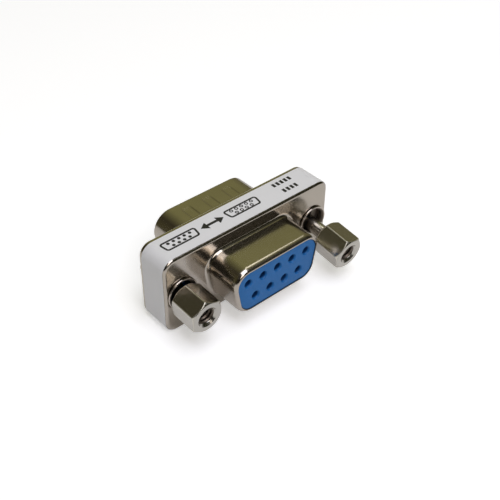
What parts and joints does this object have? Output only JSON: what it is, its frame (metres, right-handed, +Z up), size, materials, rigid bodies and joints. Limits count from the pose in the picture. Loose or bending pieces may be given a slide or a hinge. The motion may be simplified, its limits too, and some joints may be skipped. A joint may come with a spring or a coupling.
{
  "type": "d-sub gender changer",
  "caption": "Slim gender changer for D-shaped connectors: a socket in front, a plug behind, a thin steel body between and two loose captive jackscrews with tapped hexagonal heads.",
  "frame": {"origin": "middle of the underside of the body, which it stands on", "axes": "+Z up, towards the wide side of both D outlines; +Y the way the plug faces, so the socket faces -Y; +X to the right when the socket is looked at"},
  "size_m": [0.031, 0.0198, 0.0129],
  "materials": {
    "shell_nickel": "bright nickel plate on drawn steel sheet",
    "insulator_blue": "moulded blue thermoplastic, satin",
    "contact_gilt": "thin gold flash over nickel on turned brass",
    "label_white": "printed film label, semi-matt",
    "eyelet_nickel": "bright nickel plate on rolled brass",
    "clip_steel": "oiled spring steel",
    "screw_nickel": "bright nickel plate on turned steel"
  },
  "bodies": {
    "housing": {"front_shell": "shell_nickel", "rear_shell": "shell_nickel", "front_insulator": "insulator_blue", "rear_insulator": "insulator_blue", "contact_1": "contact_gilt", "contact_2": "contact_gilt", "contact_3": "contact_gilt", "contact_4": "contact_gilt", "contact_5": "contact_gilt", "contact_6": "contact_gilt", "contact_7": "contact_gilt", "contact_8": "contact_gilt", "contact_9": "contact_gilt", "label": "label_white", "front_left_eyelet": "eyelet_nickel", "front_right_eyelet": "eyelet_nickel", "rear_left_eyelet": "eyelet_nickel", "rear_right_eyelet": "eyelet_nickel"},
    "left_clip": {"left_clip": "clip_steel"},
    "left_screw": {"left_jackscrew": "screw_nickel"},
    "right_clip": {"right_clip": "clip_steel"},
    "right_screw": {"right_jackscrew": "screw_nickel"}
  },
  "joints": [
    {"name": "left_slide", "type": "slide", "parent": "housing", "child": "left_clip", "axis": [0, -0.9989, -0.0471], "range_m": [-0.0002, 0.0026]},
    {"name": "left_spin", "type": "hinge", "parent": "left_clip", "child": "left_screw", "pos_m": [-0.01249, 0.00154, 0.00622], "axis": [0, -0.9989, -0.0471], "continuous": true},
    {"name": "right_slide", "type": "slide", "parent": "housing", "child": "right_clip", "axis": [0, -0.9919, -0.1271], "range_m": [-0.0024, 0]},
    {"name": "right_spin", "type": "hinge", "parent": "right_clip", "child": "right_screw", "pos_m": [0.01249, -0.00096, 0.00602], "axis": [0, -0.9919, -0.1271], "continuous": true}
  ]
}
